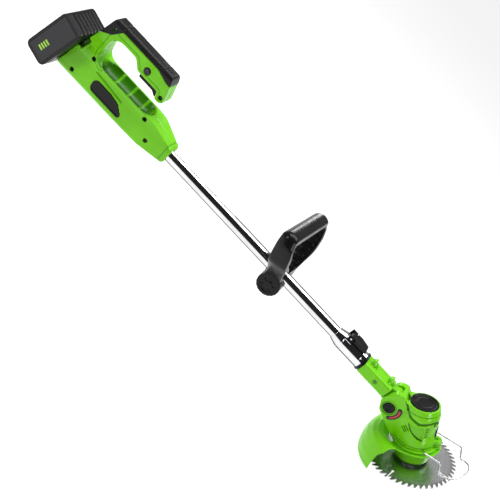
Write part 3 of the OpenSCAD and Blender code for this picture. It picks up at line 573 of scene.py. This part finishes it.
def case_skin():
    s = Skin("battery_case", 0.8, 5, BATTERY_FRAME)
    x, y, z = s.p.T.copy()
    rear = ramp(0.6, 0.9, -s.n[:, 0])
    # grooves across the rear of the case, darkened with painted shade
    for groove in range(-34, 23, 7):
        s.press(0.8, rear * ramp(1.3, 0.5, np.abs(y - groove)) * (np.abs(z) < 30), 0.5)
    # the parting line beside the bezel, a groove darkened with painted shade
    s.press(0.8, ramp(1.1, 0.4, np.abs(y - CASE_SEAM_Y)) * (np.abs(s.n[:, 1]) < 0.5), 0.8)
    s.finish("battery")


case_skin()


def label_box():
    """The label's lowest and highest corner in the battery's own frame."""
    back = BATTERY_FRAME.inverted()
    spots = [back @ point.co / MM for point in NODES["battery_label"].data.vertices]
    return [Vector([pick(spot[k] for spot in spots) for k in range(3)]) for pick in (min, max)]


LABEL_LOW, LABEL_HIGH = label_box()


def bezel_skin():
    s = Skin("battery_bezel", 0.5, 5, BATTERY_FRAME)
    x, y, z = s.p.T.copy()
    past_x = np.maximum(LABEL_LOW.x - x, x - LABEL_HIGH.x)
    past_z = np.maximum(LABEL_LOW.z - z, z - LABEL_HIGH.z)
    edge = np.maximum(past_x, past_z)
    s.ink = ramp(1.0, 1.5, edge) * 0.85 * (s.n[:, 1] < 0.5)
    s.finish("battery")


bezel_skin()


plain_skin("battery_latch", "battery_latch", 0.35, 3, BATTERY_FRAME)

# The charge marks on the label
MARK_WIDTH, MARK_HEIGHT, MARK_RADIUS, MARK_THICK = 9, 3.2, 0.8, 0.3
MARK_X = -24.0
MARK_LOWEST_Z = -29
MARK_STEP = 5.4


def label_mark(name, centre, steps=6):
    """A thin rounded plate on the label, made corner by corner."""
    width, height, radius, thick = MARK_WIDTH, MARK_HEIGHT, MARK_RADIUS, MARK_THICK
    outline = []
    for turn in range(4):
        cx = (width / 2 - radius) * (1 if turn in (0, 3) else -1)
        cz = (height / 2 - radius) * (1 if turn in (0, 1) else -1)
        for k in range(steps + 1):
            a = math.pi / 2 * (turn + k / steps)
            outline.append((cx + radius * math.cos(a), cz + radius * math.sin(a)))
    levels = [(0.0, 0.0), (0.0, thick * 0.6), (min(0.2, radius * 0.4), thick)]
    points, faces = [], []
    ring = len(outline)
    for shrink, rise in levels:
        for (u, v) in outline:
            grow = 1 - shrink / (min(width, height) / 2)
            points.append((centre[0] + u * grow, centre[1] - rise, centre[2] + v * grow))
    for level in range(len(levels) - 1):
        for k in range(ring):
            a, b = level * ring + k, level * ring + (k + 1) % ring
            faces.append((a, b, b + ring, a + ring))
    faces.append(tuple(range(ring - 1, -1, -1)))
    faces.append(tuple(range((len(levels) - 1) * ring, len(levels) * ring)))
    mesh = bpy.data.meshes.new(name)
    mesh.from_pydata([BATTERY_FRAME @ (Vector(p) * MM) for p in points], [], faces)
    mesh.materials.append(INK)
    piece = bpy.data.objects.new(name, mesh)
    COLLECTION.objects.link(piece)
    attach(piece, "battery")


for index in range(4):
    label_mark(f"label_mark_{index}", (MARK_X, LABEL_LOW.y + 0.1, MARK_LOWEST_Z + MARK_STEP * index))

# ------------------------------------------------------------------ shaft


SLEEVE_GROOVES = (650.5, 690)


def sleeve_skin():
    s = Skin("lock_sleeve", 0.5, 4)
    x, y, z = s.p.T.copy()
    round_part = ramp(0.5, 0.8, np.hypot(s.n[:, 1], s.n[:, 2]))
    # grooves round the sleeve, darkened with painted shade
    for groove in SLEEVE_GROOVES:
        s.press(0.5, round_part * ramp(0.9, 0.3, np.abs(x - groove)), 0.5)
    # the black lever's cheeks stand on the round part
    s.ink = np.maximum(s.ink, (z > 12.2) * (np.hypot(y, z) > 16.2))
    s.finish("handle")


sleeve_skin()
plain_skin("sleeve_ring", "handle", 0.45, 4)


LEVER_GRIP_X = 676


def lever_skin():
    s = Skin("lock_lever", 0.45, 5)
    x, y, z = s.p.T.copy()
    top = ramp(0.4, 0.8, s.n[:, 2])
    # grooves across the lever's top, darkened with painted shade
    for k in range(5):
        groove = LEVER_GRIP_X + 3.2 * k
        s.press(0.6, top * ramp(0.9, 0.3, np.abs(x - groove)) * (np.abs(y) < 8), 0.5)
    s.finish("lock_lever")


lever_skin()


NECK_EDGE = [(767, 12), (777, 12), (783, 0)]
NECK_SCREW_X = 733


def neck_skin():
    s = Skin("neck", 0.55, 5)
    x, y, z = s.p.T.copy()
    side = s.side(0.4, 7)
    # a groove along the neck's edge, darkened with painted shade
    s.sink(0.8, side * ramp(1.2, 0.4, to_line(x, z, NECK_EDGE)), 0.7)
    far = np.hypot(x - NECK_SCREW_X, z)
    # a recess round the neck's screw, darkened with painted shade
    s.sink(0.9, side * ramp(4.6, 4.0, far) * (np.abs(y) > 12), 0.45)
    s.finish("lower_shaft")


neck_skin()

# ------------------------------------------------------------------ head

# Places on the side of the head, as distance ahead of the spindle and height above the blade, in mm
PIVOT = (-50.8, 91.4)
HEAD_SCREWS = [(27, 86)]
GAUGE_R = 18.2
GAUGE_ANGLES = [math.radians(a) for a in range(-80, 5, 7)]
GAUGE_LINE = [(PIVOT[0] + GAUGE_R * math.cos(a), PIVOT[1] + GAUGE_R * math.sin(a)) for a in GAUGE_ANGLES]
PANEL = [(-15, 81), (-12.5, 73), (-6.6, 65), (3, 59), (12, 56), (11, 82)]
SHOULDER = [(-26, 112), (-20, 99), (-12, 92), (2, 87), (26, 91)]
SHOULDER_LIP = [(-21, 92), (-12, 87), (2, 83), (26, 86)]
VENTS = [(-20.5, 65.4), (-17.9, 67.7), (-15.3, 70)]
VENT_TURN = math.radians(128)
BASE_SEAM_H = 42.5
COLLAR_SEAM_H = 101


def head_skin(node):
    s = Skin(node, 0.6, 6, HEAD_FRAME)
    f, y, h = s.p.T.copy()
    side = s.side(0.25, 7)
    outer = side * (np.hypot(f, y) > 23)
    # the recessed panel, darkened a little with painted shade, and painted shade along its lower border
    s.sink(1.6, outer * ramp(0, 1.0, inside(f, h, PANEL)), 0.2)
    panel_edge = ramp(2.2, 0.8, to_line(f, h, PANEL[:5])) * (inside(f, h, PANEL) > -0.4)
    s.shade = np.maximum(s.shade, outer * panel_edge)
    # the groove under the shoulder, darkened with painted shade, and the lip below it
    s.sink(1.7, outer * ramp(2.6, 0.9, to_line(f, h, SHOULDER)), 0.95)
    s.sink(-0.8, outer * ramp(2.6, 1.2, to_line(f, h, SHOULDER_LIP)))
    # a column of notches, darkened with painted shade
    for k in range(6):
        s.sink(1.4, outer * ramp(0, 0.7, box_inside(f, h, (15.5, 63 + 3.8 * k), 2.6, 1.1)), 0.85)
    # the vent slots, darkened with painted shade
    for vent in VENTS:
        slot = box_inside(f, h, vent, 5.8, 0.95, VENT_TURN)
        s.sink(1.2, side * (y < 0) * ramp(0, 0.6, slot), 0.9)
    # painted shade in the screw hole; the ink is the black of the screw inside
    for (a, b) in HEAD_SCREWS:
        far = np.hypot(f - a, h - b)
        s.sink(3.0, outer * ramp(4.2, 3.5, far), 0.9)
        s.ink = np.maximum(s.ink, ramp(4.0, 3.4, far) * side)
    out = np.hypot(f - PIVOT[0], h - PIVOT[1])
    ear = side * (np.abs(y) > 15)
    # a groove round the ear, darkened with painted shade
    s.sink(0.6, ear * ramp(1.0, 0.3, np.abs(out - 12.2)), 0.8)
    s.sink(-0.7, ear * ramp(1.6, 0.6, np.abs(out - 14.2)) * (s.ink < 0.5))
    badge = to_line(f, h, GAUGE_LINE)
    s.ink = np.maximum(s.ink, ramp(4.2, 3.8, badge) * ear)
    # the shell's seam with the base ring, a groove darkened with painted shade
    s.press(0.7, ramp(1.0, 0.3, np.abs(h - BASE_SEAM_H)) * (np.hypot(f, y) > 24), 0.7)
    # the collar under the motor's cap, its seam darkened with painted shade
    s.press(0.6, ramp(1.1, 0.3, np.abs(h - COLLAR_SEAM_H)) * (np.hypot(f, y) > 22) * (f > -24), 0.6)
    s.finish("head")


head_skin("head_shell_right")
head_skin("head_shell_left")


def cap_skin():
    s = Skin("motor_cap", 0.45, 3, HEAD_FRAME)
    f, y, h = s.p.T.copy()
    out = np.hypot(f, y)
    top = ramp(0.5, 0.8, s.n[:, 2])
    s.p[:, 2] -= 0.7 * top * ramp(19.6, 18.8, out)
    s.p[:, 2] -= 0.6 * top * ramp(1.0, 0.4, np.abs(out - 13))
    # painted shade in the step round the cap's top
    s.shade = np.maximum(s.shade, top * ramp(1.3, 0.5, np.abs(out - 19.2)))
    s.finish("head")


cap_skin()


def tilt_button_skin():
    s = Skin("tilt_button", 0.4, 4, HEAD_FRAME)
    f, y, h = s.p.T.copy()
    out = np.hypot(f - PIVOT[0], h - PIVOT[1])
    # the button's face and a ring groove, darkened with painted shade
    s.sink(0.8, s.side(0.5) * ramp(7.6, 7.0, out), 0.3)
    s.sink(0.5, s.side(0.5) * ramp(0.9, 0.3, np.abs(out - 4.2)), 0.6)
    # a little play in its bore
    for axis, centre in ((0, PIVOT[0]), (2, PIVOT[1])):
        s.p[:, axis] = centre + (s.p[:, axis] - centre) * 0.97
    s.finish("tilt_button")


tilt_button_skin()


def gauge_skin():
    s = Skin("tilt_gauge", 0.3, 3, HEAD_FRAME)
    f, y, h = s.p.T.copy()
    s.ink = ramp(1.3, 1.7, to_line(f, h, GAUGE_LINE[1:-1]))
    s.sink(0.5, s.side(0.5) * (1 - s.ink))
    s.finish("head")


gauge_skin()
plain_skin("front_insert", "head", 0.45, 4, HEAD_FRAME)


FLANGE_SEAM_H = 36.2
GUARD_RIM_H = 3.2
GUARD_R = 82


def flange_skin():
    s = Skin("base_flange", 0.55, 5, HEAD_FRAME)
    f, y, h = s.p.T.copy()
    out = np.hypot(f, y)
    # the flange's seam, darkened with painted shade
    s.press(0.6, ramp(0.9, 0.3, np.abs(h - FLANGE_SEAM_H)) * (out > 34), 0.7)
    s.finish("head")


flange_skin()


def guard_skin():
    s = Skin("blade_guard", 0.9, 14, HEAD_FRAME)
    f, y, h = s.p.T.copy()
    out = np.hypot(f, y)
    outward = ramp(0.0, 0.3, s.n[:, 2] + np.abs(s.n[:, 0]))
    # a groove round the rim, darkened with painted shade
    s.press(0.5, outward * ramp(1.2, 0.4, np.abs(h - GUARD_RIM_H)) * (out > GUARD_R - 2), 0.45)
    # painted shade on the underside
    s.shade = np.maximum(s.shade, ramp(0.2, -0.4, s.n[:, 2]) * (out < GUARD_R) * 0.5)
    s.finish("head")


guard_skin()

# The wire guard's bends, in the head's frame, from one end to the other
WIRE_D = 2.6
WIRE_BEND_R = 4.5
WIRE = [
    (21, -27.5, 40.6), (21, -33, 40.6), (49, -40, 36.5), (50, -40, 14), (64, -41, 14), (76, -37, 14),
    (86, -24, 14), (93, -6, 14), (92, 8, 14), (85, 14, 14), (77, 16, 14), (74, 18, 36.5), (21, 33, 40.6),
    (21, 27.5, 40.6),
]


def wire_piece():
    """A round wire through the bends, with each corner drawn round."""
    corners = [Vector(p) for p in WIRE]
    bend_steps = 6
    path = [corners[0]]
    for before, here, after in zip(corners, corners[1:], corners[2:]):
        back, on = (before - here), (after - here)
        reach = min(WIRE_BEND_R, 0.45 * back.length, 0.45 * on.length)
        start, end = here + back.normalized() * reach, here + on.normalized() * reach
        for k in range(bend_steps + 1):
            t = k / bend_steps
            path.append(start.lerp(here, t).lerp(here.lerp(end, t), t))
    path.append(corners[-1])
    radius = WIRE_D / 2 - 0.02
    sides, points, faces = 14, [], []
    side = Vector((0, 0, 1))
    for k, spot in enumerate(path):
        on = (path[min(k + 1, len(path) - 1)] - path[max(k - 1, 0)]).normalized()
        side = (side - on * side.dot(on)).normalized()
        other = on.cross(side)
        for j in range(sides):
            a = 2 * math.pi * j / sides
            points.append(spot + (side * math.cos(a) + other * math.sin(a)) * radius)
    for k in range(len(path) - 1):
        for j in range(sides):
            a, b = k * sides + j, k * sides + (j + 1) % sides
            faces.append((a, b, b + sides, a + sides))
    faces.append(tuple(range(sides - 1, -1, -1)))
    faces.append(tuple(range(len(points) - sides, len(points))))
    mesh = bpy.data.meshes.new("wire_guard_bent")
    mesh.from_pydata([HEAD_FRAME @ (p * MM) for p in points], [], faces)
    mesh.materials.append(FINISHES["bright_steel"])
    mesh.polygons.foreach_set("use_smooth", [len(p.vertices) == 4 for p in mesh.polygons])
    piece = bpy.data.objects.new("wire_guard_bent", mesh)
    COLLECTION.objects.link(piece)
    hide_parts("wire_guard")
    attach(piece, "wire_guard")


wire_piece()

# ------------------------------------------------------------------ front handle

BAR_UNDER = 86
BAND = 15
LOOP_HOLE = [(-14, 15), (14, 15), (52, 48), (60, 78), (56, BAR_UNDER), (-56, BAR_UNDER), (-60, 78),
             (-52, 48)]
# Half the loop's depth along the shaft, and how much fuller its front edge is at the struts
LOOP_HALF = 13.5
LOOP_SWELL = 6


def loop_skin():
    s = Skin("front_handle", 0.85, 10, LOOP_FRAME)
    x, y, z = s.p.T.copy()
    # the band is round on the outside, most of all along the bar
    away = np.clip(-inside(y, z, LOOP_HOLE) / BAND, 0, 1)
    step = 0.5
    slope_y = inside(y + step, z, LOOP_HOLE) - inside(y - step, z, LOOP_HOLE)
    slope_z = inside(y, z + step, LOOP_HOLE) - inside(y, z - step, LOOP_HOLE)
    steep = np.hypot(slope_y, slope_z).clip(1e-6)
    front = LOOP_HALF + LOOP_SWELL * ramp(84, 52, z) * ramp(4, 34, z)
    across = np.where(x > 0, x / front, x / LOOP_HALF).clip(-1, 1)
    drop = away * (2.0 + 4.2 * ramp(56, 84, z)) * across ** 2 * ramp(4, 20, z)
    s.p[:, 1] += drop * slope_y / steep
    s.p[:, 2] += drop * slope_z / steep
    s.sense()
    # a row of ribs under the bar, for the fingers, with painted shade in the grooves between them
    under = ramp(0.4, 0.8, -s.n[:, 2]) * (np.abs(z - BAR_UNDER) < 6) * (np.abs(y) < 52)
    rib = np.abs((y / 3.2) % 2 - 1)
    s.p[:, 2] += under * (2.0 * rib - 1.2)
    s.shade = np.maximum(s.shade, under * ramp(0.5, 0.9, rib) * 0.6)
    # low ribs on the inner faces of the struts
    inner = ramp(0.25, 0.6, -np.sign(y) * s.n[:, 1]) * (away < 0.2) * (z > 18) * (z < 74)
    groove = np.abs((z / 4.5) % 2 - 1)
    s.press(0.7, inner * ramp(0.45, 0.15, groove) * ramp(11, 9, np.abs(x - 2)))
    s.finish("front_handle")


loop_skin()


def knob_skin():
    s = Skin("clamp_knob", 0.5, 5)
    low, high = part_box("clamp_knob")
    middle = ((low + high) / 2 - SHAFT) / MM
    x, y, z = s.p.T.copy()
    out = np.hypot(x - middle.x, z - middle.z)
    turn = np.degrees(np.arctan2(z - middle.z, x - middle.x))
    face = s.side(0.5) * (y < middle.y)
    # a ring groove and spoke grooves on the knob's face, darkened with painted shade
    s.sink(0.9, face * ramp(14.5, 13.7, out) * ramp(5.6, 6.4, out), 0.3)
    spokes = np.abs((turn / 30) % 2 - 1)
    s.sink(0.7, face * ramp(0.45, 0.15, spokes) * ramp(13.4, 12.6, out) * ramp(6.6, 7.4, out), 0.4)
    s.finish("clamp_knob")


knob_skin()

# ------------------------------------------------------------------ floor, lights, camera

AIM = Vector((SHAFT.x + 0.444, 0, SHAFT.z - 0.012))


def floor_piece(level):
    """A plain pale floor, in squares, that is lit a little from below."""
    size, steps = 6.0, 24
    spots = [(-size + 2 * size * i / steps, -size + 2 * size * j / steps, level)
             for i in range(steps + 1) for j in range(steps + 1)]
    row = steps + 1
    faces = [(i * row + j, (i + 1) * row + j, (i + 1) * row + j + 1, i * row + j + 1)
             for i in range(steps) for j in range(steps)]
    mesh = bpy.data.meshes.new("floor")
    mesh.from_pydata(spots, [], faces)
    f = Finish("floor", Roughness=0.8, Specular_IOR_Level=0.1, Emission_Color=(1, 1, 1, 1),
               Emission_Strength=0.84)
    f.colour(f.blend(f.noise(1.2, 3), (0.34, 0.34, 0.34), (0.36, 0.36, 0.36)))
    mesh.materials.append(f.material)
    piece = bpy.data.objects.new("floor", mesh)
    COLLECTION.objects.link(piece)


floor_piece(cad_box[0].z - 0.002)


def softbox(name, spot, aim, width, height, watts):
    light = bpy.data.lights.new(name, "AREA")
    light.shape = "RECTANGLE"
    light.size, light.size_y = width, height
    light.energy = watts
    thing = bpy.data.objects.new(name, light)
    thing.location = spot
    thing.rotation_euler = (Vector(aim) - Vector(spot)).to_track_quat("-Z", "Y").to_euler()
    thing.visible_camera = False
    COLLECTION.objects.link(thing)


softbox("overhead", AIM + Vector((-0.1, 0.42, 1.7)), AIM, 2.4, 1.0, 42)
softbox("front_low", AIM + Vector((0.0, -0.85, -0.17)), AIM + Vector((0, 0, 0.02)), 1.3, 0.14, 4.5)
softbox("front_left", AIM + Vector((-1.5, -1.1, 0.9)), AIM + Vector((-0.3, 0, 0)), 0.35, 0.6, 11)
softbox("front_right", AIM + Vector((1.5, -0.9, 0.7)), AIM + Vector((0.2, 0, 0)), 0.35, 0.6, 9)
softbox("behind", BLADE + Vector((-0.71, 1.26, 0.36)), BLADE, 0.4, 0.3, 3)

world = bpy.data.worlds.new("studio")
world.use_nodes = True
sky = world.node_tree
background = sky.nodes["Background"]
background.inputs["Color"].default_value = (1, 1, 1, 1)
# dark towards the viewer, pale behind, as in a small studio
parts = sky.nodes.new("ShaderNodeSeparateXYZ")
fade = sky.nodes.new("ShaderNodeMapRange")
fade.interpolation_type = "SMOOTHSTEP"
for key, number in (("From Min", -0.05), ("From Max", 0.7), ("To Min", 0.02), ("To Max", 0.34)):
    fade.inputs[key].default_value = number
sky.links.new(sky.nodes.new("ShaderNodeTexCoord").outputs["Generated"], parts.inputs[0])
sky.links.new(parts.outputs["Y"], fade.inputs["Value"])
sky.links.new(fade.outputs[0], background.inputs["Strength"])
bpy.context.scene.world = world
bpy.context.scene.view_settings.view_transform = "Standard"

# The camera looks at the middle of the shaft from the operator's right, above and tilted
VIEW_AZIMUTH = math.radians(-91.7)
VIEW_ELEVATION = math.radians(32.35)
VIEW_ROLL = math.radians(47.8)
VIEW_DISTANCE = 1.208

LENS_MM, SENSOR_MM = 54, 36

camera_data = bpy.data.cameras.new("camera")
camera_data.lens = LENS_MM
camera_data.sensor_width = SENSOR_MM
camera = bpy.data.objects.new("camera", camera_data)
out = Vector((math.cos(VIEW_ELEVATION) * math.cos(VIEW_AZIMUTH),
              math.cos(VIEW_ELEVATION) * math.sin(VIEW_AZIMUTH), math.sin(VIEW_ELEVATION)))
level = Vector((0, 0, 1)).cross(out).normalized()
right = level * math.cos(VIEW_ROLL) + out.cross(level) * math.sin(VIEW_ROLL)
axes = Matrix((right, out.cross(right), out)).transposed()
camera.matrix_world = placed(AIM + out * VIEW_DISTANCE, axes)
COLLECTION.objects.link(camera)
bpy.context.scene.camera = camera
